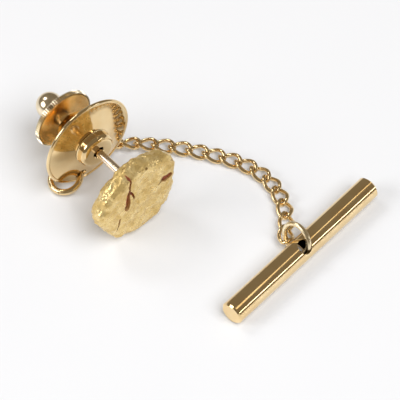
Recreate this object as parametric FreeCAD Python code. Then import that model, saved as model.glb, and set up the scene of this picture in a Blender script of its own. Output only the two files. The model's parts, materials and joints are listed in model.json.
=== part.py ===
import FreeCAD, Part
import json
import math
import os

# Tie tack: a gold nugget on a pin, a sprung ball clutch that grips the pin, a curb chain
# and a T-bar on its two jump rings.  Millimetres, +Z up.  The piece is drawn lying on its
# side, so the dish edge, the nugget, the chain and the bar all rest on the plane z = 0.

V = FreeCAD.Vector

# ---- the pin axis: clutch frame with local z along the pin, towards the nugget -------------
PIN_HEADING = -50.0        # degrees from +X, in the table plane
DISH_R = 5.90              # outer radius of the dish, also the height of the pin axis
CLUTCH_XY = (-12.74, 3.75)  # where the centre of the dish rim stands before centring

# ---- nugget ----------------------------------------------------------------------------------
NUGGET_BACK = 7.75         # local z of the flat the pin is soldered to
NUGGET_MID = (-1.1, -0.55)  # centre of the outline, local x and y
NUGGET_OUTLINE = [
    (-6.75, 0.70), (-5.40, 2.85), (-3.70, 4.05), (-1.85, 4.75), (0.00, 4.82), (1.65, 4.70),
    (3.25, 4.15), (4.25, 3.45), (4.68, 2.10), (4.58, -0.05), (4.35, -2.50), (3.30, -4.35),
    (1.65, -5.35), (-0.20, -5.83), (-2.00, -5.85), (-3.85, -5.10), (-5.40, -3.30), (-6.70, -0.70),
]
NUGGET_LAYERS = [(7.75, 0.80), (8.15, 0.93), (8.90, 1.00), (9.70, 0.97), (10.25, 0.84)]
POCKET_FLOOR = 9.35        # local z of the bottom of the dark pockets
POCKET_TOP = 10.12         # local z their filling comes up to
POCKETS = [
    [(-2.35, 2.10), (-1.85, 2.30), (-1.95, 1.40), (-2.35, 0.75), (-2.60, -0.10), (-3.15, -0.25),
     (-3.05, 0.55), (-2.80, 1.30)],
    [(2.45, 1.15), (3.05, 1.75), (3.75, 1.70), (3.70, 1.05), (3.05, 0.70), (2.35, 0.20),
     (1.85, 0.15), (2.15, 0.70)],
    [(-3.75, -1.55), (-3.55, -1.65), (-3.75, -2.30), (-3.90, -2.25)],
]

# ---- pin -------------------------------------------------------------------------------------
PIN_R = 0.50
PIN_TIP_R = 0.47           # the end inside the clutch tapers to this, with two V grooves
PIN_TIP = -2.90            # local z of the point
PIN_POINT = 0.90           # length of the pointed end
GROOVE_R = 0.44
STOP_GROOVE_Z = 1.90       # a second groove, where the balls catch if the clutch is pushed on less far
GROOVE_Z = -0.60           # the grip balls sit in this shallow groove
GROOVE_W = 0.36
SOLDER_R = 0.95
SOLDER_H = 0.45

# ---- face plate, back shell and nose -----------------------------------------------------------
PLATE_T = 0.30
PLATE_HOLE_R = 1.60        # centre hole the nose bushing passes through
PLATE_EDGE_R = 5.55
PLATE_RISE = 0.87          # the face is a low cone: its centre hole stands this much above its edge
SHELL_T = 0.28
SHELL_OUTSIDE = [(5.60, -0.30), (4.60, -0.92), (3.40, -1.95), (2.20, -3.06), (1.40, -3.68), (1.02, -3.80)]
RIM_BEAD = 0.22
RING_HOLE = (-1.40, -4.50)  # local x, y of the hole for the jump ring
RING_HOLE_R = 0.72
NOSE_R = 2.25
NOSE_FACE = 2.00           # local z of the flat face
NOSE_BORE = 0.75

# ---- clutch works --------------------------------------------------------------------------------
HOUSING_R = 1.78
HOUSING_TOP = 0.30
HOUSING_END = -2.62
CONE_TOP = 0.05
CONE_R_TOP = 1.19
CONE_END = -1.70
CONE_SLOPE = 0.22
CAP_END = -2.90
BALLS = 3
BALL_R = 0.40
CAGE_R = 1.02
CAGE_BORE = 0.58
CAGE_TOP = -0.05
FLANGE_R = 1.30
FLANGE_Z = (-1.35, -1.60)
STEM_R = 0.82
KNOB_BORE_END = -7.70      # the pin's point can run back into the hollow stem as far as this
SPRING_R = 1.10
SPRING_WIRE = 0.20
SPRING_TURNS = 3.0
DISC_FACE = -4.28
DISC_T = 0.70
DISC_R = 3.80
KNURLS = 84
KNURL_DEPTH = 0.13
KNOB_R = 1.50
KNOB_Z = -7.20
COLLAR_R = 1.05

# ---- jump ring on the dish -----------------------------------------------------------------------
DISH_RING_R = 1.75
DISH_RING_WIRE = 0.375     # wire radius
DISH_RING_AT = (-2.96, -4.98, -0.72)
DISH_RING_N = (-0.283, 0.959, 0.0)
DISH_RING_GRIP = -50.0     # where round the ring the chain hangs, degrees
DISH_RING_CUT = 152.0      # where the ring is sawn open

# ---- chain ---------------------------------------------------------------------------------------
LINK_A = 1.29              # half length of the wire centreline
LINK_B = 0.80              # half width
LINK_WIRE = 0.23           # wire radius
LINK_TWIST = 45.0          # each end is turned this much from the middle
LINKS = 18
CHAIN_ROUTE = [            # the chain hangs from the dish ring, then lies on the table in a wide bend
    (-15.68, 3.68, 1.19), (-14.6, 5.35, 1.37), (-13.05, 6.6, 1.17), (-11.25, 7.4, 0.82), (-9.3, 7.75, 0.79),
    (-5.3, 7.6, 0.67), (-1.3, 7.0, 0.52), (2.5, 5.9, 0.52), (6.15, 4.2, 0.52),
    (8.8, 1.15, 0.52), (9.85, -2.7, 0.59), (9.85, -4.7, 0.72), (9.66, -6.68, 1.08),
]
FIRST_ROLL = -58.0         # turn of the first link about its own length, degrees
ROLLED_AT_RING = 6         # links over which that turn dies away, ever faster
LAST_ROLL = -16.0          # turn of the last link
ROLLED_AT_BAR = 3          # links over which it builds up

# ---- T-bar and its jump ring -----------------------------------------------------------------------
BAR_R = 1.40
BAR_BORE = 1.05
BAR_LENGTH = 24.0
BAR_HEADING = 48.5
BAR_HOLE_AT = (11.34, -8.24)
BAR_HOLE_TO_NEAR_END = 11.9
BAR_HOLE_AXIS = (0.344, -0.305, 0.888)
BAR_HOLE_R = 0.90
END_CAP_T = 0.80
END_CHAMFER = 0.18
BAR_RING_R = 1.85
BAR_RING_WIRE = 0.30       # wire radius
BAR_RING_OFF = (-0.437, 1.069, 0.700)
BAR_RING_N = (-0.7014, -0.6716, 0.2390)
BAR_RING_GRIP = 45.0       # where round the ring the chain hangs, degrees below the level

os.makedirs("parts", exist_ok=True)


def unit(v):
    """The same direction with length one."""
    w = V(v)
    w.normalize()
    return w


def frame_at(origin, x_axis, y_axis, z_axis):
    """A placement whose local axes lie along the three directions given."""
    m = FreeCAD.Matrix(
        x_axis.x, y_axis.x, z_axis.x, origin.x,
        x_axis.y, y_axis.y, z_axis.y, origin.y,
        x_axis.z, y_axis.z, z_axis.z, origin.z,
        0, 0, 0, 1)
    return FreeCAD.Placement(m)


def turned(profile):
    """A lathe-turned solid from (radius, z) points."""
    pts = [V(r, 0, z) for r, z in profile]
    face = Part.Face(Part.makePolygon(pts + [pts[0]]))
    return face.revolve(V(0, 0, 0), V(0, 0, 1), 360)


def rod(radius, z0, z1, x=0.0, y=0.0):
    """A plain cylinder between two heights."""
    low = min(z0, z1)
    return Part.makeCylinder(radius, abs(z1 - z0), V(x, y, low), V(0, 0, 1))


def wire_torus(centre, normal, ring_r, wire_r):
    """A closed wire ring."""
    return Part.makeTorus(ring_r, wire_r, centre, normal)


def closed_spline(points):
    """A smooth closed wire through the points."""
    curve = Part.BSplineCurve()
    curve.interpolate(points, PeriodicFlag=True)
    return Part.Wire([curve.toShape()])


# ---------------------------------------------------------------- tack: nugget and pin
def nugget_section(z, scale):
    cx, cy = NUGGET_MID
    pts = [V(cx + (x - cx) * scale, cy + (y - cy) * scale, z) for x, y in NUGGET_OUTLINE]
    return closed_spline(pts)


def pocket(outline, z0, z1):
    """A straight-sided plug with a smooth outline."""
    wire = closed_spline([V(x, y, z0) for x, y in outline])
    return Part.Face(wire).extrude(V(0, 0, z1 - z0))


def make_nugget():
    body = Part.makeLoft([nugget_section(z, s) for z, s in NUGGET_LAYERS], True, False)
    for outline in POCKETS:
        body = body.cut(pocket(outline, POCKET_FLOOR, 12.0))
    return body


def make_pockets_filling():
    return Part.makeCompound([pocket(o, POCKET_FLOOR, POCKET_TOP) for o in POCKETS])


def make_pin():
    tip = PIN_TIP
    top = NUGGET_BACK
    profile = [(0, tip), (0.06, tip), (PIN_TIP_R, tip + PIN_POINT)]
    grooves = (
        (GROOVE_Z, PIN_TIP_R + 0.01, PIN_TIP_R + 0.01),
        (STOP_GROOVE_Z, PIN_TIP_R + 0.02, PIN_R),
    )
    for z, before, after in grooves:
        profile += [(before, z - GROOVE_W / 2), (GROOVE_R, z), (after, z + GROOVE_W / 2)]
    profile += [(PIN_R, top - SOLDER_H), (PIN_R + 0.12, top - SOLDER_H * 0.45), (SOLDER_R, top), (0, top)]
    return turned(profile)


# ---------------------------------------------------------------- clutch body
def ring_hole():
    """The drill that makes the jump ring's hole through plate and shell."""
    return rod(RING_HOLE_R, -3.0, 2.0, RING_HOLE[0], RING_HOLE[1])


def plate_height(r):
    """Local z of the polished face at a radius."""
    return (PLATE_EDGE_R - r) * PLATE_RISE / (PLATE_EDGE_R - PLATE_HOLE_R)


def make_face_plate():
    """The polished front, a low cone with a rolled bead for its edge."""
    inner = plate_height(PLATE_HOLE_R)
    plate = turned([
        (PLATE_HOLE_R, inner), (PLATE_EDGE_R, 0), (PLATE_EDGE_R, -PLATE_T), (PLATE_HOLE_R, inner - PLATE_T)])
    bead = Part.makeTorus(DISH_R - RIM_BEAD, RIM_BEAD, V(0, 0, -0.15), V(0, 0, 1))
    return plate.fuse(bead).cut(ring_hole())


def make_back_shell():
    """The drawn cone-shaped back, crimped under the plate's edge."""
    outside = Part.BSplineCurve()
    outside.interpolate([V(r, 0, z) for r, z in SHELL_OUTSIDE])
    inside = Part.BSplineCurve()
    inside.interpolate([V(r - 0.5 * SHELL_T, 0, z + SHELL_T) for r, z in SHELL_OUTSIDE])
    rim = Part.makeLine(outside.StartPoint, inside.StartPoint)
    throat = Part.makeLine(outside.EndPoint, inside.EndPoint)
    section = Part.Face(Part.Wire(Part.__sortEdges__([outside.toShape(), rim, inside.toShape(), throat])))
    shell = section.revolve(V(0, 0, 0), V(0, 0, 1), 360)
    below_plate = turned([(0, -3.9), (6.2, -3.9), (6.2, -PLATE_T - 0.08), (0, -PLATE_T - 0.08)])
    return shell.common(below_plate).cut(ring_hole())


def make_nose():
    """The turned bushing that guides the pin; its rounded front stands out of the plate."""
    r = NOSE_R
    z = NOSE_FACE
    seat = plate_height(PLATE_HOLE_R) + 0.02
    foot = plate_height(r + 0.12) + 0.02
    return turned([
        (NOSE_BORE + 0.12, z), (r - 0.30, z), (r - 0.14, z - 0.05), (r - 0.04, z - 0.16), (r, z - 0.32),
        (r, foot + 0.24), (r + 0.04, foot + 0.10), (r + 0.12, foot), (PLATE_HOLE_R, seat),
        (PLATE_HOLE_R, HOUSING_TOP), (NOSE_BORE, HOUSING_TOP), (NOSE_BORE, z - 0.12)])


def cone_radius(z):
    return CONE_R_TOP + (CONE_TOP - z) * CONE_SLOPE


def make_housing():
    """The barrel inside the shell; its cone wedges the balls against the pin."""
    end_r = cone_radius(CONE_END)
    r = HOUSING_R
    return turned([
        (r + 0.40, HOUSING_TOP), (r + 0.40, HOUSING_TOP - 0.30), (r, HOUSING_TOP - 0.45),
        (r, HOUSING_END), (end_r, HOUSING_END), (end_r, CONE_END),
        (CONE_R_TOP, CONE_TOP), (0.95, CONE_TOP), (0.95, HOUSING_TOP)])


def make_cap():
    """The washer that closes the barrel behind the spring."""
    return turned([
        (STEM_R + 0.08, HOUSING_END), (HOUSING_R, HOUSING_END), (HOUSING_R, CAP_END + 0.10),
        (HOUSING_R - 0.10, CAP_END), (STEM_R + 0.08, CAP_END)])


# ---------------------------------------------------------------- plunger: cage, balls, disc, knob
def ball_centres():
    radius = PIN_R + BALL_R + 0.005
    step = 2 * math.pi / BALLS
    return [V(radius * math.cos(i * step), radius * math.sin(i * step), GROOVE_Z) for i in range(BALLS)]


def make_cage():
    """Sleeve with a window for each ball, a flange for the spring and the stem behind it."""
    f0, f1 = FLANGE_Z
    body = turned([
        (CAGE_BORE, CAGE_TOP), (CAGE_R, CAGE_TOP), (CAGE_R, f0), (FLANGE_R, f0), (FLANGE_R, f1),
        (STEM_R, f1), (STEM_R, DISC_FACE - DISC_T), (CAGE_BORE, DISC_FACE - DISC_T)])
    for c in ball_centres():
        axis = V(c.x, c.y, 0)
        body = body.cut(Part.makeCylinder(BALL_R + 0.03, 1.6, V(0, 0, c.z), axis))
    return body


def make_balls():
    return Part.makeCompound([Part.makeSphere(BALL_R, c) for c in ball_centres()])


def make_spring():
    """Coil between the cage flange and the cap."""
    z_low = HOUSING_END + SPRING_WIRE / 2 + 0.01
    z_high = FLANGE_Z[1] - SPRING_WIRE / 2 - 0.01
    steps = int(SPRING_TURNS * 12)
    points = []
    for i in range(steps + 1):
        angle = 2 * math.pi * SPRING_TURNS * i / steps
        z = z_low + (z_high - z_low) * i / steps
        points.append(V(SPRING_R * math.cos(angle), SPRING_R * math.sin(angle), z))
    curve = Part.BSplineCurve()
    curve.interpolate(points)
    start = curve.FirstParameter
    section = Part.Wire([Part.makeCircle(SPRING_WIRE / 2, curve.value(start), curve.tangent(start)[0])])
    return Part.Wire([curve.toShape()]).makePipeShell([section], True, True)


def make_disc():
    """Finger disc with straight knurls cut round its edge."""
    back = DISC_FACE - DISC_T
    points = []
    for i in range(KNURLS):
        for k, r in ((0.0, DISC_R), (0.30, DISC_R), (0.55, DISC_R - KNURL_DEPTH), (0.75, DISC_R - KNURL_DEPTH)):
            angle = 2 * math.pi * (i + k) / KNURLS
            points.append(V(r * math.cos(angle), r * math.sin(angle), back))
    toothed = Part.Face(Part.makePolygon(points + [points[0]])).extrude(V(0, 0, DISC_T))
    edge = DISC_R + 0.02
    blank = turned([
        (STEM_R, back), (edge - 0.16, back), (edge, back + 0.14), (edge, DISC_FACE - 0.14),
        (edge - 0.16, DISC_FACE), (STEM_R, DISC_FACE)])
    return toothed.common(blank)


def make_knob():
    """Ball finial with a small turned foot against the disc."""
    back = DISC_FACE - DISC_T
    neck = KNOB_Z + math.sqrt(KNOB_R ** 2 - COLLAR_R ** 2) - 0.1
    foot = turned([
        (0, back), (COLLAR_R + 0.35, back), (COLLAR_R + 0.35, back - 0.16), (COLLAR_R, back - 0.34),
        (COLLAR_R, neck), (0, neck)])
    ball = foot.fuse(Part.makeSphere(KNOB_R, V(0, 0, KNOB_Z)))
    return ball.cut(rod(CAGE_BORE, KNOB_BORE_END, back + 1.0))


# ---------------------------------------------------------------- rings
def make_dish_ring():
    """Thick jump ring, its two sawn ends a hair apart."""
    centre = V(*DISH_RING_AT)
    normal = unit(V(*DISH_RING_N))
    ring = wire_torus(centre, normal, DISH_RING_R, DISH_RING_WIRE)
    out = ring_direction(DISH_RING_CUT)
    saw = Part.makeBox(2.0, 0.06, 2.0, V(0, -0.03, -1.0))
    saw.Placement = frame_at(centre + out * (DISH_RING_R - 1.0), out, normal.cross(out), normal)
    return ring.cut(saw)


def ring_direction(angle):
    """Direction from the dish ring's centre, local frame; 0 points at its hole, 90 at the nugget."""
    normal = unit(V(*DISH_RING_N))
    inward = V(0, 0, 1).cross(normal) * -1.0
    a = math.radians(angle)
    return inward * math.cos(a) + V(0, 0, 1) * math.sin(a)


def bar_ring_direction(angle):
    """Direction from the bar ring's centre, world frame; 0 is level, 90 straight down."""
    normal = unit(V(*BAR_RING_N))
    level = unit(normal.cross(V(0, 0, 1)))
    down = unit(level.cross(normal))
    if down.z > 0:
        down = down * -1.0
    a = math.radians(angle)
    return level * math.cos(a) + down * math.sin(a)


# ---------------------------------------------------------------- chain
def make_link():
    """One curb link: an oval of wire with its ends twisted at right angles to each other."""
    pts = []
    for i in range(16):
        t = 2 * math.pi * i / 16
        x = LINK_A * math.cos(t)
        y = LINK_B * math.sin(t)
        q = math.radians(LINK_TWIST) * x / LINK_A
        pts.append(V(x, y * math.cos(q), y * math.sin(q)))
    curve = Part.BSplineCurve()
    curve.interpolate(pts, PeriodicFlag=True)
    p0 = curve.FirstParameter
    p1 = curve.LastParameter
    middle = (p0 + p1) / 2
    halves = [half_link(curve, p0, middle), half_link(curve, middle, p1)]
    return halves[0].fuse(halves[1]).Solids[0]


def half_link(curve, p0, p1):
    """Round wire swept along part of the link's centreline."""
    section = Part.Wire([Part.makeCircle(LINK_WIRE, curve.value(p0), curve.tangent(p0)[0])])
    return Part.Wire([curve.toShape(p0, p1)]).makePipeShell([section], True, True)


def link_frame(a, b, roll):
    """Placement of a link between two crossings, its flat side level and then rolled."""
    along = unit(b - a)
    side = unit(V(0, 0, 1).cross(along))
    up = along.cross(side)
    r = math.radians(roll)
    side_r = side * math.cos(r) + up * math.sin(r)
    up_r = up * math.cos(r) - side * math.sin(r)
    return frame_at((a + b) * 0.5, along, side_r, up_r)


# ---------------------------------------------------------------- T-bar
def bar_frame():
    """Local z along the bar, local x along the cross hole."""
    a = math.radians(BAR_HEADING)
    along = V(math.cos(a), math.sin(a), 0)
    hole = V(*BAR_HOLE_AXIS)
    hole = unit(hole - along * hole.dot(along))
    centre = V(BAR_HOLE_AT[0], BAR_HOLE_AT[1], BAR_R)
    return frame_at(centre, hole, along.cross(hole), along)


def make_bar_tube():
    z0 = -BAR_HOLE_TO_NEAR_END + END_CAP_T
    z1 = BAR_LENGTH - BAR_HOLE_TO_NEAR_END - END_CAP_T
    tube = turned([(BAR_BORE, z0), (BAR_R, z0), (BAR_R, z1), (BAR_BORE, z1)])
    return tube.cut(Part.makeCylinder(BAR_HOLE_R, 6.0, V(-3, 0, 0), V(1, 0, 0)))


def make_end_plug(z, sign):
    """Solid end with a spigot inside the tube; sign is +1 for the far end."""
    c = END_CHAMFER
    t = END_CAP_T
    profile = [
        (0, 0), (BAR_R - c, 0), (BAR_R, -c), (BAR_R, -t), (BAR_BORE, -t), (BAR_BORE, -t - 1.2),
        (0, -t - 1.2)]
    return turned([(r, z + sign * h) for r, h in profile])


# ---------------------------------------------------------------- how the chain lies
def chain_crossings():
    """Where each link crosses its neighbour: equal steps along a smooth curve between the two rings."""
    route = Part.BSplineCurve()
    route.interpolate([V(*p) for p in CHAIN_ROUTE])
    return route.toShape().discretize(Number=LINKS + 1)


def link_roll(i):
    """The turn of a link about its own length, degrees; links near a ring follow its wire."""
    if i < ROLLED_AT_RING:
        return FIRST_ROLL * (1 - (i / ROLLED_AT_RING) ** 1.25)
    return LAST_ROLL * max(0, i - LINKS + 1 + ROLLED_AT_BAR) / ROLLED_AT_BAR


# ---------------------------------------------------------------- put everything together
def build():
    heading = math.radians(PIN_HEADING)
    axis = V(math.cos(heading), math.sin(heading), 0)
    across = V(-math.sin(heading), math.cos(heading), 0)
    clutch = frame_at(V(CLUTCH_XY[0], CLUTCH_XY[1], DISH_R), across, V(0, 0, 1), axis)

    nodes = {
        "nugget_head": make_nugget(),
        "matrix_inclusions": make_pockets_filling(),
        "pin_post": make_pin(),
        "face_plate": make_face_plate(),
        "back_shell": make_back_shell(),
        "nose_bushing": make_nose(),
        "clutch_housing": make_housing(),
        "housing_cap": make_cap(),
        "ball_cage_stem": make_cage(),
        "lock_balls": make_balls(),
        "clutch_spring": make_spring(),
        "knurled_disc": make_disc(),
        "knob": make_knob(),
        "dish_ring": make_dish_ring(),
    }
    for shape in nodes.values():
        shape.Placement = clutch.multiply(shape.Placement)
    joints = {"clutch_axis": [clutch.Base, axis]}

    ring_centre = clutch.multVec(V(*DISH_RING_AT))
    rot = clutch.Rotation
    out = rot.multVec(ring_direction(DISH_RING_GRIP))
    grip = ring_centre + out * DISH_RING_R
    joints["dish_ring"] = [ring_centre, rot.multVec(unit(V(*DISH_RING_N)))]
    joints["dish_ring_grip"] = [grip, rot.multVec(ring_direction(DISH_RING_GRIP + 90))]

    bar = bar_frame()
    bar_centre = bar.Base
    bar_ring_centre = bar_centre + V(*BAR_RING_OFF)
    bar_grip = bar_ring_centre + bar_ring_direction(BAR_RING_GRIP) * BAR_RING_R
    joints["bar_ring"] = [bar_ring_centre, unit(V(*BAR_RING_N))]
    joints["bar_grip"] = [bar_grip, unit(V(*BAR_RING_N)).cross(bar_ring_direction(BAR_RING_GRIP))]
    joints["bar"] = [bar_centre, rot_axis(bar, V(0, 0, 1)), rot_axis(bar, V(1, 0, 0))]

    crossings = chain_crossings()
    for i in range(LINKS):
        link = make_link()
        link.Placement = link_frame(crossings[i], crossings[i + 1], link_roll(i))
        nodes["link_%02d" % (i + 1)] = link
    joints["crossings"] = crossings

    nodes["bar_ring"] = wire_torus(bar_ring_centre, unit(V(*BAR_RING_N)), BAR_RING_R, BAR_RING_WIRE)
    near = -BAR_HOLE_TO_NEAR_END
    far = BAR_LENGTH - BAR_HOLE_TO_NEAR_END
    for name, shape in (("t_bar_tube", make_bar_tube()), ("t_bar_near_plug", make_end_plug(near, -1)),
                        ("t_bar_far_plug", make_end_plug(far, 1))):
        shape.Placement = bar.multiply(shape.Placement)
        nodes[name] = shape
    return nodes, joints


def rot_axis(placement, v):
    return placement.Rotation.multVec(v)


def centre_on_origin(nodes):
    """Shift that puts the middle of the footprint on the origin and the lowest point on z = 0."""
    box = FreeCAD.BoundBox()
    for shape in nodes.values():
        b = shape.optimalBoundingBox(True, False)
        box.add(b)
    return V(-(box.XMin + box.XMax) / 2, -(box.YMin + box.YMax) / 2, -box.ZMin), box


all_nodes, joint_data = build()
shift, whole = centre_on_origin(all_nodes)
for name, shape in all_nodes.items():
    shape.translate(shift)
    shape.exportStep("parts/%s.step" % name)
print("size", round(whole.XLength, 2), round(whole.YLength, 2), round(whole.ZLength, 2))
print("shift", [round(c, 4) for c in shift])
for key, values in joint_data.items():
    moved = [values[0] + shift] + values[1:] if key != "crossings" else [v + shift for v in values]
    print("joint", key, json.dumps([[round(c, 5) for c in v] for v in moved]))
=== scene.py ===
# %% [markdown]
# # A nugget tie tack, finished and lit
#
# The piece has four groups: a gold nugget soldered to a pin, a sprung ball clutch that grips
# the pin, a fine curb chain and a small T-bar.  The engineering model gives every part its
# size and its place, so this lesson is about surfaces: how turned, drawn and cast gold are
# told apart by shape, polish and reflections.
#
# The imported model is loaded first and never moved.  Its box is kept, and the table is laid at its
# lowest point.

# %% Load the frame
import json
import math
import bpy
from mathutils import Matrix, Vector


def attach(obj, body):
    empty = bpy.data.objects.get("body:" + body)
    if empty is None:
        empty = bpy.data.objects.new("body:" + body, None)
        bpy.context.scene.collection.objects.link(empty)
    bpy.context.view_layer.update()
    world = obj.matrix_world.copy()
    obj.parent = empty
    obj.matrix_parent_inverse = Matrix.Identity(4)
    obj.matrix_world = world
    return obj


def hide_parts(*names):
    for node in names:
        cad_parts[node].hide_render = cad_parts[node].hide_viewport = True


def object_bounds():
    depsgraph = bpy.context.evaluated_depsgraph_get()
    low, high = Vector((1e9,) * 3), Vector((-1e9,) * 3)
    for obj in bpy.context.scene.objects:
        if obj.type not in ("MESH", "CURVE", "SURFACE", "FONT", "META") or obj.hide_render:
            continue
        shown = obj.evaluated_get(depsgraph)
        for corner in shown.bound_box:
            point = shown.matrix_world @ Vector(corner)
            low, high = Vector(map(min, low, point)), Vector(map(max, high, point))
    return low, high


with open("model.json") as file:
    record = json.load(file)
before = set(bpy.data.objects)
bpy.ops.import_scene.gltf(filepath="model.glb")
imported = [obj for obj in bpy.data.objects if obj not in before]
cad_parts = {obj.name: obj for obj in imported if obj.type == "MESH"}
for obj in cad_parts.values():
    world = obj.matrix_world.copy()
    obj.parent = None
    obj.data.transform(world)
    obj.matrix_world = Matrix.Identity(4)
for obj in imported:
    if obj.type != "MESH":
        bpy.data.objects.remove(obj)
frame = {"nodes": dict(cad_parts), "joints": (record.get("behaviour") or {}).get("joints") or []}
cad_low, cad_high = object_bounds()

MM = 0.001
nodes = frame["nodes"]
print("pieces in the frame:", len(nodes))
print("size in mm:", [round(side / MM, 2) for side in cad_high - cad_low])

# %% [markdown]
# ## Where the pin lies
#
# Everything on the clutch and the nugget is turned or mounted about the pin, so those pieces
# are modelled upright about Z, as they would stand in a lathe chuck, and laid down at the
# end.  The clutch's own hinge gives the axis.  Local Z runs along the pin towards the nugget,
# local Y is up from the table and local X lies level.

# %% Pin frame
hinges = {joint["name"]: joint for joint in frame["joints"]}
spin_joint = hinges["clutch_spin"]
pin_axis = -Vector(spin_joint["axis"]).normalized()
pin_origin = Vector(spin_joint["pos_m"])
up = Vector((0, 0, 1))
level = up.cross(pin_axis)
pin_frame = Matrix((level, up, pin_axis)).transposed().to_4x4()
pin_frame.translation = pin_origin
print("pin axis", [round(c, 3) for c in pin_axis])


# %% Measure along the pin
def along_pin(name):
    """Lowest and highest place of a node along the pin, and its largest radius, in metres."""
    to_pin = pin_frame.inverted()
    places = [to_pin @ vertex.co for vertex in nodes[name].data.vertices]
    heights = [place.z for place in places]
    return min(heights), max(heights), max(math.hypot(place.x, place.y) for place in places)


for name in ("face_plate", "back_shell", "nose_bushing", "knurled_disc", "knob"):
    print(name, [round(value / MM, 2) for value in along_pin(name)])

# %% [markdown]
# ## Shader sums written as Python
#
# A finish is mostly arithmetic on patterns.  One small class wraps a shader socket so that a
# sum such as `1 - 0.4 * grain` adds its Math nodes by itself, and one method of the finish
# adds any other node: its settings are set first and its sockets filled afterwards.

# %% Signal and Finish
class Signal:
    """One output socket that can be used in a Python expression."""

    def __init__(self, finish, socket):
        self.finish = finish
        self.socket = socket

    def sum(self, operation, first, second):
        return self.finish.node("ShaderNodeMath", {"operation": operation}, {0: first, 1: second})

    def __add__(self, other):
        return self.sum("ADD", self, other)

    def __radd__(self, other):
        return self.sum("ADD", other, self)

    def __sub__(self, other):
        return self.sum("SUBTRACT", self, other)

    def __rsub__(self, other):
        return self.sum("SUBTRACT", other, self)

    def __mul__(self, other):
        return self.sum("MULTIPLY", self, other)

    def __rmul__(self, other):
        return self.sum("MULTIPLY", other, self)

    def clipped(self):
        """The same value kept between 0 and 1."""
        return self.finish.node("ShaderNodeClamp", {}, {0: self})


class Finish:
    """A material under construction."""

    def __init__(self, name):
        self.material = bpy.data.materials.new(name)
        self.material.use_nodes = True
        self.tree = self.material.node_tree
        self.tree.nodes.clear()

    def node(self, kind, settings=None, sockets=None, output=0):
        """Adds a node, sets its settings, fills its sockets with values or links, gives one output."""
        made = self.tree.nodes.new(kind)
        for key, value in (settings or {}).items():
            setattr(made, key, value)
        for key, value in (sockets or {}).items():
            if isinstance(value, Signal):
                self.tree.links.new(value.socket, made.inputs[key])
            else:
                made.inputs[key].default_value = value
        return Signal(self, made.outputs[output]) if made.outputs else None

    def place(self):
        return self.node("ShaderNodeTexCoord", output="Object")

    def noise(self, size, detail=2.0, where=None):
        """Cloudy pattern whose blotches are about as big as the size given, in metres."""
        sockets = {"Vector": where or self.place(), "Scale": 1.0 / size, "Detail": detail}
        return self.node("ShaderNodeTexNoise", {}, sockets)

    def steps(self, value, low, high):
        """0 below low, 1 above high, straight between them."""
        return ((value - low) * (1.0 / (high - low))).clipped()

    def mix(self, share, first, second):
        return self.node("ShaderNodeMix", {"data_type": "RGBA"}, {0: share, 6: first, 7: second}, 2)

    def bump(self, height, strength, distance, under=None):
        sockets = {"Height": height, "Strength": strength, "Distance": distance}
        if under is not None:
            sockets["Normal"] = under
        return self.node("ShaderNodeBump", {}, sockets)

    def shade(self, **sockets):
        """The surface itself; socket names are given with _ for a blank."""
        filled = {key.replace("_", " "): value for key, value in sockets.items()}
        surface = self.node("ShaderNodeBsdfPrincipled", {}, filled)
        self.node("ShaderNodeOutputMaterial", {}, {"Surface": surface})
        return self.material


def rgb(red, green, blue):
    return (red, green, blue, 1.0)


def give(material, *names):
    """Puts a finish on the named pieces of the frame."""
    for name in names:
        for place in nodes[name].material_slots:
            place.material = material
    print(material.name, "on", ", ".join(names))


# %% [markdown]
# ## Polished gold
#
# Rolled-gold findings are buffed to a mirror, and a mirror shows only its surroundings: cream
# where it sees the pale table, olive-brown where it sees the dim room, orange where gold
# reflects gold.  So the finish itself is quiet: one warm metal, a roughness that drifts a
# little where fingers have been, and hairline scratches too fine to see one by one.

# %% Gold finishes
GOLD_LIGHT = rgb(0.93, 0.73, 0.42)
GOLD_DEEP = rgb(0.88, 0.65, 0.34)


def polished_gold(name, rough, light=GOLD_LIGHT, deep=GOLD_DEEP, scratch=0.06):
    finish = Finish(name)
    handled = finish.noise(2.4 * MM, 3.0)
    hairline = finish.noise(0.12 * MM, 4.0)
    colour = finish.mix(finish.steps(handled, 0.35, 0.65), light, deep)
    roughness = rough * 0.7 + handled * rough * 0.5 + hairline * rough * 0.25
    relief = finish.bump(hairline, scratch, 0.01 * MM)
    return finish.shade(Base_Color=colour, Metallic=1.0, Roughness=roughness, Normal=relief)


mirror_gold = polished_gold("mirror gold", 0.07)
pin_gold = polished_gold("pin gold", 0.17, rgb(0.98, 0.84, 0.66), rgb(0.95, 0.79, 0.58))
chain_gold = polished_gold("chain gold", 0.14)
ring_gold = polished_gold("jump ring gold", 0.16)
pale_gold = polished_gold("pale ring gold", 0.26, rgb(0.93, 0.80, 0.55), rgb(0.90, 0.75, 0.48))
bar_gold = polished_gold("bar gold", 0.09)
knob_gold = polished_gold("knob gold", 0.20, rgb(0.92, 0.80, 0.60), rgb(0.86, 0.72, 0.50))
steel = polished_gold("spring steel", 0.22, rgb(0.62, 0.61, 0.60), rgb(0.50, 0.50, 0.50))

links = sorted(name for name in nodes if name.startswith("link_"))
give(mirror_gold, "clutch_housing", "housing_cap")
give(pin_gold, "pin_post", "ball_cage_stem")
give(steel, "clutch_spring", "lock_balls")
give(ring_gold, "dish_ring")
give(pale_gold, "bar_ring")
give(chain_gold, *links)
give(bar_gold, "t_bar_tube", "t_bar_near_plug", "t_bar_far_plug")

# %% [markdown]
# ## Nugget gold and its iron-stained pockets
#
# A natural nugget was never polished: its skin is satin, pitted at the scale of sand, with
# small worn facets that flash.  Here a fine grain and a coarser cell pattern are both bumps,
# and the proud cells are smoother than the hollows, because wear polishes only what stands
# out.

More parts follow.
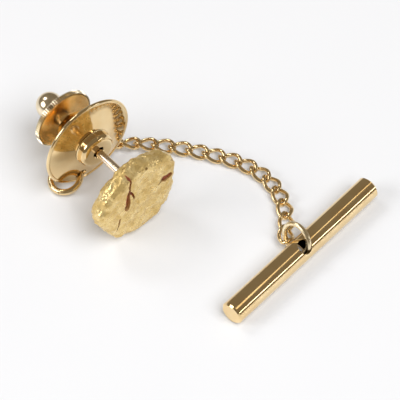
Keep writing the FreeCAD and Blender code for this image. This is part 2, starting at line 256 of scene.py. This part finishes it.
# %% Nugget finishes
def nugget_finish():
    finish = Finish("nugget gold")
    grain = finish.noise(0.20 * MM, 5.0)
    folds = finish.noise(1.3 * MM, 3.0)
    flakes = finish.noise(0.5 * MM, 2.0)
    worn = finish.steps(folds, 0.40, 0.62)
    hue = finish.mix(worn, rgb(0.76, 0.55, 0.21), rgb(0.93, 0.73, 0.35))
    colour = finish.mix(finish.steps(grain, 0.28, 0.50), rgb(0.60, 0.40, 0.14), hue)
    roughness = 0.44 - 0.14 * worn - 0.16 * finish.steps(flakes, 0.55, 0.65)
    coarse = finish.bump(flakes, 0.45, 0.10 * MM)
    relief = finish.bump(grain, 0.50, 0.05 * MM, coarse)
    return finish.shade(Base_Color=colour, Metallic=0.72, Roughness=roughness, Normal=relief)


def iron_finish():
    finish = Finish("iron stain")
    grain = finish.noise(0.30 * MM, 5.0)
    colour = finish.mix(finish.steps(grain, 0.35, 0.7), rgb(0.12, 0.02, 0.006), rgb(0.42, 0.09, 0.025))
    relief = finish.bump(grain, 0.8, 0.08 * MM)
    return finish.shade(Base_Color=colour, Roughness=0.72 - 0.3 * grain, Normal=relief)


nugget_gold = nugget_finish()
iron_stain = iron_finish()

# %% [markdown]
# ## Turning a piece on the lathe
#
# Plate, shell, bushing, disc and knob are all turned or spun about the pin.  Their outline is
# drawn point by point, as a turner would follow a template: a small plane is collapsed to one
# vertex, the vertex is extruded along the outline, and the Spin operator carries the outline
# once round Z.  Flats need two points only; round shoulders are short arcs and the drawn
# shell is a smooth curve through a few points.

# %% Outline helpers
def arc(centre, radius, start, end, count=8):
    """Points on a circle in the outline's plane, from one angle to another, in degrees."""
    points = []
    for i in range(count + 1):
        angle = math.radians(start + (end - start) * i / count)
        points.append((centre[0] + radius * math.cos(angle), centre[1] + radius * math.sin(angle)))
    return points


def through(points, closed=False, count=6):
    """A smooth line through the points, with a few more points between each pair."""
    total = len(points)
    line = []
    for i in range(total if closed else total - 1):
        if closed:
            near = [Vector(points[(i + k) % total]) for k in (-1, 0, 1, 2)]
        else:
            near = [Vector(points[min(max(i + k, 0), total - 1)]) for k in (-1, 0, 1, 2)]
        a, b, c, d = near
        for k in range(count):
            t = k / count
            place = b + (c - a) * (t / 2) + (a * 2 - b * 5 + c * 4 - d) * (t * t / 2)
            place += (b * 3 - a - c * 3 + d) * (t ** 3 / 2)
            line.append((place.x, place.y))
    return line if closed else line + [points[-1]]


def start_vertex(name, place):
    """A new piece that is one selected vertex, left in edit mode."""
    bpy.ops.object.select_all(action="DESELECT")
    bpy.ops.mesh.primitive_plane_add(size=MM, location=(0, 0, 0))
    piece = bpy.context.object
    piece.name = name
    bpy.ops.object.mode_set(mode="EDIT")
    bpy.ops.mesh.select_mode(type="VERT")
    bpy.ops.mesh.select_all(action="SELECT")
    bpy.ops.mesh.merge(type="CENTER")
    bpy.ops.transform.translate(value=place)
    return piece


def draw_line(places):
    """Extrudes the selected vertex through the places, one after another."""
    for here, there in zip(places, places[1:]):
        step = Vector(there) - Vector(here)
        bpy.ops.mesh.extrude_vertices_move(TRANSFORM_OT_translate={"value": step})


TURNS = 160                # faces round a turned piece


def turned(name, outline):
    """Spins an outline of (radius, height) points, in mm, about Z.

    A ring's outline ends where it starts.
    """
    places = [(radius * MM, 0, height * MM) for radius, height in outline]
    piece = start_vertex(name, places[0])
    draw_line(places)
    bpy.ops.mesh.select_all(action="SELECT")
    bpy.ops.mesh.spin(steps=TURNS, angle=2 * math.pi, center=(0, 0, 0), axis=(0, 0, 1))
    bpy.ops.mesh.select_all(action="SELECT")
    bpy.ops.mesh.remove_doubles(threshold=0.0005 * MM)
    bpy.ops.mesh.normals_make_consistent(inside=False)
    bpy.ops.object.mode_set(mode="OBJECT")
    return piece


# %% Drill, lay down and hand over
def cut_away(piece, cutter):
    """Boolean difference; the cutter is removed afterwards."""
    bpy.ops.object.select_all(action="DESELECT")
    bpy.context.view_layer.objects.active = piece
    piece.select_set(True)
    cut = piece.modifiers.new("cut", "BOOLEAN")
    cut.operation = "DIFFERENCE"
    cut.solver = "EXACT"
    cut.object = cutter
    bpy.ops.object.modifier_apply(modifier=cut.name)
    bpy.data.objects.remove(cutter)


def smooth(piece, angle=32):
    """Smooth shading that keeps edges sharper than the angle."""
    bpy.ops.object.select_all(action="DESELECT")
    bpy.context.view_layer.objects.active = piece
    piece.select_set(True)
    bpy.ops.object.shade_smooth_by_angle(angle=math.radians(angle))


def lay_down(piece):
    """Carries a piece from the lathe to its place on the pin, and applies the move to its mesh."""
    bpy.ops.object.select_all(action="DESELECT")
    bpy.context.view_layer.objects.active = piece
    piece.select_set(True)
    piece.matrix_world = pin_frame
    bpy.ops.object.transform_apply(location=True, rotation=True, scale=True)


def hand_over(piece, material, body, slot, *replaced):
    """Finish, body and the nodes that the piece stands for; the slot is not used."""
    piece.data.materials.clear()
    piece.data.materials.append(material)
    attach(piece, body)
    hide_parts(*replaced)
    print(piece.name, "has", len(piece.data.polygons), "faces")


# %% [markdown]
# ## Face plate and back shell
#
# The clutch body is two stampings crimped together.  The plate in front is a low polished
# cone with its edge rolled into a bead; the shell behind is a deeper, softly bulging cone.
# Both are pierced for the thick jump ring, so the same drill is used on each.  Either could be
# a disc thickened by Solidify, but the plate's bead and the shell's changing bulge are part of
# the outline, so both walls are drawn and the outline is closed into a ring before it is spun.

# %% Clutch body
PLATE_THICK = 0.30
BEAD = 0.22                # radius of the rolled edge
HOLE_AT = (-1.40, -4.50)   # the jump ring's hole, local x and y
HOLE_R = 0.72

PLATE_HOLE_R = 1.60        # centre hole, which the nose passes through
BEAD_Z = -0.15
DRILL_SIDES = 48

_, plate_high, plate_r = (value / MM for value in along_pin("face_plate"))
bead_at = (plate_r - BEAD, BEAD_Z)
plate_edge = plate_r - 0.35


def ring_drill():
    """A rod that stands in the jump ring's hole."""
    bpy.ops.object.select_all(action="DESELECT")
    bpy.ops.mesh.primitive_cylinder_add(vertices=DRILL_SIDES, radius=HOLE_R * MM, depth=5 * MM)
    drill = bpy.context.object
    drill.location = (HOLE_AT[0] * MM, HOLE_AT[1] * MM, -0.5 * MM)
    return drill


def make_plate():
    front = [(PLATE_HOLE_R, plate_high), (plate_edge - 0.10, 0.03), (plate_edge + 0.02, -0.01)]
    bead = arc(bead_at, BEAD, 140, -150, 26)
    back = [(plate_edge, -PLATE_THICK), (PLATE_HOLE_R, plate_high - PLATE_THICK)]
    back.append(front[0])
    plate = turned("polished_face_plate", front + bead + back)
    cut_away(plate, ring_drill())
    smooth(plate, 24)
    lay_down(plate)
    return plate


def make_shell():
    outside = [(5.60, -0.36), (5.45, -0.42), (4.60, -0.94), (3.40, -1.95)]
    outside += [(2.20, -3.06), (1.40, -3.66), (1.02, -3.79)]
    inside = [(0.94, -3.60), (1.30, -3.42), (2.06, -2.78), (3.26, -1.67), (4.46, -0.66), (5.20, -0.40)]
    outline = through(outside) + through(inside) + [outside[0]]
    shell = turned("drawn_back_shell", outline)
    cut_away(shell, ring_drill())
    smooth(shell, 40)
    lay_down(shell)
    return shell


hand_over(make_plate(), mirror_gold, "clutch", "clutch_gold", "face_plate")
hand_over(make_shell(), mirror_gold, "clutch", "clutch_gold", "back_shell")

# %% [markdown]
# ## Nose bushing
#
# The nose is a short turned boss: flat face, a generous round on its shoulder that catches one
# soft highlight, a straight wall and a small fillet where it meets the plate.  The bore is
# countersunk, so the pin finds its way in.  A bevelled cylinder would give the round too, but
# not the fillet, and the outline is easier to change than a row of bevels.

# %% Nose
NOSE_R = 2.25
NOSE_BORE_R = 0.70
SINK_R = 0.82              # the bore's mouth is opened to this
SHOULDER = 0.62            # radius of the round
FILLET = 0.16


def make_nose():
    low, face, _ = (value / MM for value in along_pin("nose_bushing"))
    foot = plate_high - 0.16
    outline = [(SINK_R, face), (NOSE_R - SHOULDER, face)]
    outline += arc((NOSE_R - SHOULDER, face - SHOULDER), SHOULDER, 88, 0, 16)
    outline += arc((NOSE_R + FILLET, foot + 0.20), FILLET, 180, 250, 6)
    outline += [(1.62, plate_high + 0.02), (1.58, low)]
    outline += [(NOSE_BORE_R, low), (NOSE_BORE_R, face - 0.12), (SINK_R, face)]
    nose = turned("rounded_nose", outline)
    smooth(nose, 30)
    lay_down(nose)
    return nose


hand_over(make_nose(), mirror_gold, "clutch", "clutch_gold", "nose_bushing")

# %% [markdown]
# ## Knurled disc
#
# The disc is pulled with two fingertips, so its edge has 84 straight knurls.  A cylinder with
# four sides to each knurl is the blank; the sides between two teeth are drawn inwards
# together.  The end faces are then stepped inwards for the chamfers and the shallow cup of the
# front, and the innermost faces are bridged to leave the hole for the stem.  Knurls drawn by a
# bump alone would vanish at the rim's outline, which is where they are seen.

# %% Disc
KNURLS = 84
KNURL_DEEP = 0.20
DISC_CHAMFER = 0.07
FRONT_STEPS = [(0.955, DISC_CHAMFER), (0.955, 0.0), (0.60, -0.10), (0.55, -0.01), (0.70, 0.05)]
BACK_STEPS = [(0.955, -DISC_CHAMFER), (0.97, 0.0), (0.55, 0.05), (0.6, 0.0)]
disc_low, disc_high, disc_r = (value / MM for value in along_pin("knurled_disc"))


def select_where(piece, kind, wanted):
    """Selects the vertices or faces whose place passes the test, in edit mode."""
    bpy.ops.mesh.select_mode(type=kind)
    bpy.ops.mesh.select_all(action="DESELECT")
    bpy.ops.object.mode_set(mode="OBJECT")
    parts = piece.data.vertices if kind == "VERT" else piece.data.polygons
    for part in parts:
        part.select = wanted(part)
    bpy.ops.object.mode_set(mode="EDIT")


def step_face(scale, rise):
    """Extrudes the selected end face by a rise and shrinks it about the axis."""
    bpy.ops.mesh.extrude_region_move(TRANSFORM_OT_translate={"value": (0, 0, rise * MM)})
    bpy.ops.transform.resize(value=(scale, scale, 1), center_override=(0, 0, 0))


def in_gap(vertex):
    """True for the two of every four points that lie between two teeth."""
    turn = (math.atan2(vertex.co.y, vertex.co.x) / (2 * math.pi) * KNURLS + 0.125) % 1.0
    return turn > 0.5


def is_level(face):
    return abs(face.normal.z) > 0.9


def knurled_gold():
    """Warm gold with painted shade, partly old polish, at the bottom of the knurls and a painted
    highlight on their crests.
    """
    finish = Finish("knurled gold")
    kind = "ShaderNodeVectorMath"
    away = finish.node(kind, {"operation": "SUBTRACT"}, {0: finish.place(), 1: pin_origin})
    across = finish.node(kind, {"operation": "CROSS_PRODUCT"}, {0: away, 1: pin_axis})
    radius = finish.node(kind, {"operation": "LENGTH"}, {0: across}, "Value")
    deep = (disc_r - KNURL_DEEP) * MM
    # The crest mask marks the tooth tops for a painted highlight; with the flat it also bounds the
    # painted shade in the gaps.
    crest_highlight = finish.steps(radius, deep + 0.03 * MM, deep + 0.12 * MM)
    flat = 1.0 - finish.steps(radius, deep - 0.04 * MM, deep - 0.01 * MM)
    clear_of_polish_and_shade = (crest_highlight + flat).clipped()
    cloud = finish.noise(1.5 * MM, 3.0)
    face = finish.mix(cloud, rgb(1.0, 0.78, 0.42), rgb(0.98, 0.66, 0.27))
    # Painted highlight: the knurl crests are a paler gold.
    metal = finish.mix(crest_highlight, face, rgb(1.0, 0.90, 0.68))
    # Painted shade, partly old polish: dark brown at the bottom of the knurls.
    colour = finish.mix(clear_of_polish_and_shade, rgb(0.16, 0.08, 0.02), metal)
    return finish.shade(Base_Color=colour, Metallic=1.0, Roughness=0.24 - 0.06 * cloud)


def make_disc():
    thick = disc_high - disc_low
    band = (thick - 2 * DISC_CHAMFER) * MM
    middle = (disc_high + disc_low) / 2 * MM
    bpy.ops.object.select_all(action="DESELECT")
    bpy.ops.mesh.primitive_cylinder_add(vertices=4 * KNURLS, radius=disc_r * MM, depth=band)
    disc = bpy.context.object
    disc.name = "knurled_finger_disc"
    bpy.ops.object.mode_set(mode="EDIT")
    select_where(disc, "VERT", in_gap)
    gap = (disc_r - KNURL_DEEP) / disc_r
    bpy.ops.transform.resize(value=(gap, gap, 1), center_override=(0, 0, 0))
    half = band / 2
    for side, steps in ((1, FRONT_STEPS), (-1, BACK_STEPS)):
        select_where(disc, "FACE", lambda face: side * face.center.z > half * 0.9 and is_level(face))
        for scale, rise in steps:
            step_face(scale, rise)
    select_where(disc, "FACE", lambda face: is_level(face) and len(face.vertices) > 4)
    bpy.ops.mesh.bridge_edge_loops()
    bpy.ops.mesh.select_all(action="SELECT")
    bpy.ops.transform.translate(value=(0, 0, middle))
    bpy.ops.mesh.normals_make_consistent(inside=False)
    bpy.ops.object.mode_set(mode="OBJECT")
    smooth(disc, 24)
    lay_down(disc)
    return disc


hand_over(make_disc(), knurled_gold(), "plunger", "clutch_gold", "knurled_disc")

# %% [markdown]
# ## Ball knob
#
# The knob is one turning: a foot against the disc, a waist and a ball.  A sphere joined to a
# cylinder would need a weld between them, so the whole of it is one outline and one spin, and
# the bore for the stem is part of the outline.

# %% Knob
BALL_R = 1.60
WAIST_R = 1.05
STEM_BORE_R = 0.60
STEM_BORE_END = 1.0        # metal left under the bore


def make_knob():
    low, high, _ = (value / MM for value in along_pin("knob"))
    centre = low + BALL_R
    foot_r = WAIST_R + 0.35
    foot = [(STEM_BORE_R, high), (foot_r, high), (foot_r, high - 0.16)]
    foot += arc((WAIST_R + 0.26, high - 0.36), 0.22, 80, 180, 6)
    ball = arc((0, centre), BALL_R, math.degrees(math.acos(WAIST_R / BALL_R)), -90, 40)
    bore = [(0.0, low + STEM_BORE_END), (STEM_BORE_R, low + STEM_BORE_END), (STEM_BORE_R, high)]
    knob = turned("ball_knob", foot + ball + bore)
    smooth(knob, 40)
    lay_down(knob)
    return knob


hand_over(make_knob(), knob_gold, "plunger", "clutch_gold", "knob")

# %% [markdown]
# ## Nugget
#
# The nugget is a flattened pebble of native gold.  Its outline is taken from the frame, ray by
# ray about the middle, and lofted in five layers by extruding and resizing.  A voxel remesh
# turns that into an even skin, and three Displace modifiers give it the lumps, worn facets and
# grain that a real one has.  Sculpting would do it as well, but a procedural relief is the
# same at every run.

# %% Nugget body
RAYS = 72
RAY_WIDTH = 0.35           # how near a point has to be to count as on a ray
VOXEL = 0.1 * MM
SLIMMER = 0.09             # the relief swells the far end, so its rays start shorter
nugget_low, nugget_high, _ = (value / MM for value in along_pin("nugget_head"))
# share of the height, share of the outline
LAYERS = [(0.0, 0.80), (0.14, 0.94), (0.45, 1.0), (0.78, 0.98), (0.93, 0.90), (1.0, 0.80)]


def nugget_outline():
    """The middle of the nugget across the pin, and the reach of each ray, in mm."""
    to_pin = pin_frame.inverted()
    places = [(to_pin @ vertex.co) / MM for vertex in nodes["nugget_head"].data.vertices]
    across = [place.x for place in places]
    upward = [place.y for place in places]
    middle = ((min(across) + max(across)) / 2, (min(upward) + max(upward)) / 2)
    reach = []
    for i in range(RAYS):
        angle = 2 * math.pi * i / RAYS
        ray = (math.cos(angle), math.sin(angle))
        inline = [0.0]
        for place in places:
            x, y = place.x - middle[0], place.y - middle[1]
            if abs(x * ray[1] - y * ray[0]) < RAY_WIDTH:
                inline.append(x * ray[0] + y * ray[1])
        reach.append(max(inline) * (1 - SLIMMER * max(0, -ray[0]) ** 2))
    return middle, reach


def displace(piece, kind, size, strength, level, **settings):
    """One Displace modifier with a procedural texture, applied."""
    texture = bpy.data.textures.new(kind.lower(), kind)
    texture.noise_scale = size * MM
    for key, value in settings.items():
        setattr(texture, key, value)
    bump = piece.modifiers.new("relief", "DISPLACE")
    bump.texture = texture
    bump.texture_coords = "LOCAL"
    bump.strength = strength * MM
    bump.mid_level = level
    bpy.ops.object.modifier_apply(modifier=bump.name)


def make_nugget():
    middle, reach = nugget_outline()
    height = nugget_high - nugget_low
    rays = [2 * math.pi * i / RAYS for i in range(RAYS)]
    ring = [
        (far * math.cos(ray) * MM, far * math.sin(ray) * MM, 0)
        for far, ray in zip(reach, rays)
    ]
    nugget = start_vertex("native_nugget", ring[0])
    draw_line(ring)
    bpy.ops.mesh.select_all(action="SELECT")
    bpy.ops.mesh.edge_face_add()
    first = LAYERS[0][1]
    bpy.ops.transform.resize(value=(first, first, 1), center_override=(0, 0, 0))
    bpy.ops.transform.translate(value=(0, 0, nugget_low * MM))
    for (rise0, scale0), (rise1, scale1) in zip(LAYERS, LAYERS[1:]):
        step_face(scale1 / scale0, (rise1 - rise0) * height)
    bpy.ops.mesh.select_all(action="SELECT")
    bpy.ops.transform.translate(value=(middle[0] * MM, middle[1] * MM, 0))
    bpy.ops.mesh.normals_make_consistent(inside=False)
    bpy.ops.object.mode_set(mode="OBJECT")
    remesh = nugget.modifiers.new("even skin", "REMESH")
    remesh.mode = "VOXEL"
    remesh.voxel_size = VOXEL
    bpy.ops.object.modifier_apply(modifier=remesh.name)
    displace(nugget, "CLOUDS", 2.6, 0.55, 0.62)
    displace(nugget, "VORONOI", 1.1, 0.30, 0.35, distance_metric="DISTANCE")
    displace(nugget, "CLOUDS", 0.45, 0.14, 0.55)
    return nugget


nugget = make_nugget()
print("nugget skin:", len(nugget.data.polygons), "faces")

# %% [markdown]
# ## Pockets and iron stain
#
# Ironstone is left in a few hollows: a forked slit that starts at the upper edge, a blob with
# a tail and a hair crack; two small pits are empty.  Each is a brush stroke drawn on the face
# and cut through the skin, and the same outline, a little larger and set deeper, is the
# mineral that fills it.  Colour alone would be quicker, but a real pocket has a shaded wall.

# %% Pockets
def stroke(middle, widths):
    """The outline of a brush stroke: a middle line and half the width at each of its points."""
    left, right = [], []
    last = len(middle) - 1
    for i, width in enumerate(widths):
        along = Vector(middle[min(i + 1, last)]) - Vector(middle[max(i - 1, 0)])
        aside = Vector((-along.y, along.x)).normalized() * width
        here = Vector(middle[i])
        left.append(tuple(here + aside))
        right.append(tuple(here - aside))
    return left + right[::-1]


SLIT = stroke(
    [(-2.05, 4.5), (-1.9, 3.9), (-2.2, 2.6), (-2.5, 1.2), (-2.75, -0.1)],
    [0.07, 0.12, 0.16, 0.30, 0.28],
)
BRANCH = stroke([(-2.15, 2.5), (-1.75, 1.7), (-1.57, 0.7)], [0.10, 0.15, 0.07])
BLOB = stroke(
    [(1.9, 0.4), (2.4, 0.8), (3.0, 0.8), (3.5, 0.9), (3.9, 1.0)],
    [0.08, 0.20, 0.52, 0.50, 0.24],
)
CRACK = stroke([(-3.58, -1.3), (-3.8, -2.1), (-4.15, -2.9)], [0.06, 0.09, 0.05])
PIT = stroke([(1.55, 5.1), (1.85, 5.2), (2.15, 5.2)], [0.06, 0.12, 0.07])
SMALL_PIT = stroke([(0.35, 4.3), (0.6, 4.3)], [0.12, 0.12])
FILLED = (SLIT, BRANCH, BLOB, CRACK)
EMPTY = (PIT, SMALL_PIT)
POCKET_DEEP = 0.72         # floor of the cut below the nugget's highest point
STAIN_DEEP = 0.30          # top of the mineral below that point
STAIN_TALL = 0.90
STAIN_GROW = 0.06


def pocket_block(name, outline, low, high, grow=0.0):
    """A prism with a smooth outline between two heights; grow swells it about its middle."""
    points = through(outline, closed=True, count=4)
    block = start_vertex(name, (points[0][0] * MM, points[0][1] * MM, low * MM))
    draw_line([(x * MM, y * MM, low * MM) for x, y in points])
    bpy.ops.mesh.select_all(action="SELECT")
    bpy.ops.mesh.edge_face_add()
    bpy.ops.mesh.extrude_region_move(TRANSFORM_OT_translate={"value": (0, 0, (high - low) * MM)})
    bpy.ops.mesh.select_all(action="SELECT")
    bpy.ops.mesh.normals_make_consistent(inside=False)
    if grow:
        bpy.ops.transform.shrink_fatten(value=grow * MM)
    bpy.ops.object.mode_set(mode="OBJECT")
    return block


def make_stain():
    """The mineral in all the pockets, one roughened piece."""
    top = nugget_high - STAIN_DEEP
    blocks = [pocket_block("stain", outline, top - STAIN_TALL, top, STAIN_GROW) for outline in FILLED]
    bpy.ops.object.select_all(action="DESELECT")
    for block in blocks:
        block.select_set(True)
    bpy.context.view_layer.objects.active = blocks[0]
    bpy.ops.object.join()
    stain = bpy.context.object
    stain.name = "iron_stain_mineral"
    remesh = stain.modifiers.new("grain", "REMESH")
    remesh.mode = "VOXEL"
    remesh.voxel_size = VOXEL
    bpy.ops.object.modifier_apply(modifier=remesh.name)
    displace(stain, "CLOUDS", 0.5, 0.16, 0.5)
    return stain


for outline in FILLED + EMPTY:
    floor = nugget_high - POCKET_DEEP
    cut_away(nugget, pocket_block("pocket", outline, floor, nugget_high + 1.0))
smooth(nugget, 50)
lay_down(nugget)
stain = make_stain()
smooth(stain, 60)
lay_down(stain)
hand_over(nugget, nugget_gold, "tack", "nugget_gold", "nugget_head")
hand_over(stain, iron_stain, "tack", "iron_matrix", "matrix_inclusions")

# %% [markdown]
# ## Table
#
# A wide sheet of glossy white board, part of the studio.  One
# plane is enough, since its edges are far out of the picture, and a slightly cool white keeps
# the light that the gold throws back from tinting all of it.

# %% Table
TABLE_SIZE = 3.0


def board_finish():
    finish = Finish("white board")
    mottle = finish.noise(30 * MM, 2.0)
    colour = finish.mix(mottle, rgb(0.80, 0.82, 0.86), rgb(0.83, 0.85, 0.89))
    return finish.shade(Base_Color=colour, Roughness=0.28 + 0.05 * mottle)


bpy.ops.object.select_all(action="DESELECT")
bpy.ops.mesh.primitive_plane_add(size=TABLE_SIZE, location=(0, 0, cad_low.z - 0.02 * MM))
table = bpy.context.object
table.name = "table"
table.data.materials.append(board_finish())

# %% [markdown]
# ## Camera and light
#
# The camera looks down at 52 degrees through a long lens, so that the bar and the chain keep
# their true proportions.  Polished gold needs a dim room with a few bright shapes in it: a
# narrow soft box low on the right gives the bar its line of light, a broad one on the left
# fills the post and the knob, a small one behind it picks out the knurls and the flakes along
# the nugget's edge, and a warm strip high up is the orange line on the bar.  A large overhead
# lamp, which the metal can't see, lights the table.

# %% Camera
LOOK_AT = pin_origin + Vector((12.74, -3.75, -5.90)) * MM
CAMERA_HEIGHT = 52.0       # degrees above the table
CAMERA_DISTANCE = 350 * MM
SENSOR = 36.0
VIEW_WIDTH = 45.9 * MM     # how much of the scene the frame takes in at the target

tilt = math.radians(CAMERA_HEIGHT)
camera_data = bpy.data.cameras.new("camera")
camera_data.sensor_width = SENSOR
camera_data.lens = SENSOR * CAMERA_DISTANCE / VIEW_WIDTH
camera_data.clip_start = 0.01
camera_data.clip_end = 20.0
camera = bpy.data.objects.new("camera", camera_data)
bpy.context.scene.collection.objects.link(camera)
camera.location = LOOK_AT + Vector((0, -math.cos(tilt), math.sin(tilt))) * CAMERA_DISTANCE
camera.rotation_euler = (math.pi / 2 - tilt, 0, 0)
bpy.context.scene.camera = camera
print("lens in mm:", round(camera_data.lens, 1))


# %% Lights
def soft_box(name, azimuth, height, distance, size, radiance, seen=True, colour=(1, 1, 1)):
    """A rectangular lamp facing the piece, as bright as its radiance where the metal mirrors it.

    The azimuth runs from +X towards +Y.
    """
    a = math.radians(azimuth)
    h = math.radians(height)
    away = Vector((math.cos(a) * math.cos(h), math.sin(a) * math.cos(h), math.sin(h)))
    lamp = bpy.data.lights.new(name, "AREA")
    lamp.shape = "RECTANGLE"
    lamp.size, lamp.size_y = size
    lamp.energy = radiance * size[0] * size[1] * math.pi
    lamp.color = colour
    box = bpy.data.objects.new(name, lamp)
    bpy.context.scene.collection.objects.link(box)
    box.location = away * distance
    box.rotation_euler = away.to_track_quat("Z", "Y").to_euler()
    box.visible_glossy = seen
    print(name, "gives", round(lamp.energy, 2), "W")


soft_box("overhead", -50, 58, 1.1, (0.9, 0.9), 4.7, seen=False)
soft_box("right strip", -14, 18, 0.8, (0.35, 0.05), 6.0)
soft_box("left box", 197, 32, 0.8, (0.46, 0.34), 5.0)
soft_box("back left box", 140, 48, 0.8, (0.22, 0.22), 6.0)
soft_box("high strip", 21, 59, 0.9, (0.30, 0.04), 1.6, colour=(1.0, 0.85, 0.6))


# %% [markdown]
# The room itself is a dim brownish grey in reflections.  The camera sees a pale backdrop
# instead, and the Light Path node tells the two apart.

# %% Room
def light_room():
    world = bpy.data.worlds.new("room")
    bpy.context.scene.world = world
    world.use_nodes = True
    tree = world.node_tree
    tree.nodes.clear()
    path = tree.nodes.new("ShaderNodeLightPath")
    dim = tree.nodes.new("ShaderNodeBackground")
    dim.inputs["Color"].default_value = rgb(0.21, 0.18, 0.14)
    pale = tree.nodes.new("ShaderNodeBackground")
    pale.inputs["Color"].default_value = rgb(0.78, 0.78, 0.79)
    choose = tree.nodes.new("ShaderNodeMixShader")
    out = tree.nodes.new("ShaderNodeOutputWorld")
    tree.links.new(path.outputs["Is Camera Ray"], choose.inputs[0])
    tree.links.new(dim.outputs[0], choose.inputs[1])
    tree.links.new(pale.outputs[0], choose.inputs[2])
    tree.links.new(choose.outputs[0], out.inputs["Surface"])


light_room()
bpy.context.scene.view_settings.view_transform = "Standard"
